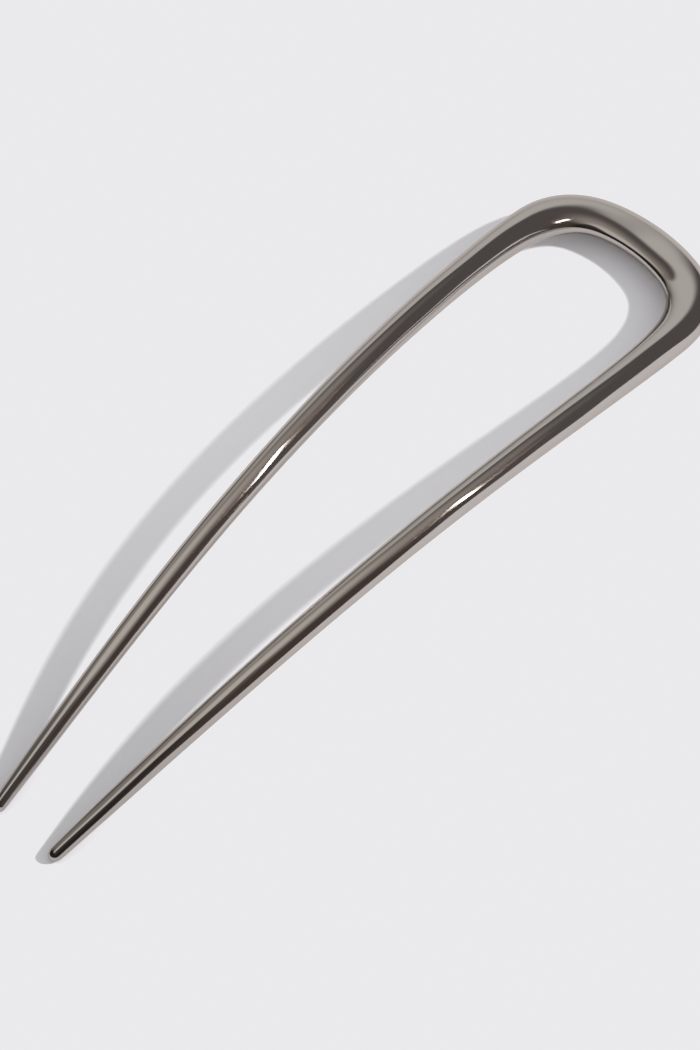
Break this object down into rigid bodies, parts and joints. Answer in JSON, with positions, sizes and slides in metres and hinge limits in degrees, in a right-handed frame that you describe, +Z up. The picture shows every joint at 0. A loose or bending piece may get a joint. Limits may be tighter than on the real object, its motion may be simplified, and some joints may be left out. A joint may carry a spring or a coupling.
{
  "type": "french hair pin",
  "caption": "Arched U-shaped hair pin cast in one piece: a broad flattened bow and two converging prongs that taper to blunt round tips.",
  "frame": {"origin": "middle of the pin's bounding box, on the table that the bow and the tips rest on", "axes": "+X along the pin from its tips to its bow, +Y across it, +Z up out of the arch"},
  "size_m": [0.13, 0.0328, 0.0139],
  "materials": {
    "gunmetal_plating": "mirror-polished gunmetal plating, dark grey and slightly warm"
  },
  "bodies": {
    "root": {"pin": "gunmetal_plating"}
  },
  "joints": []
}
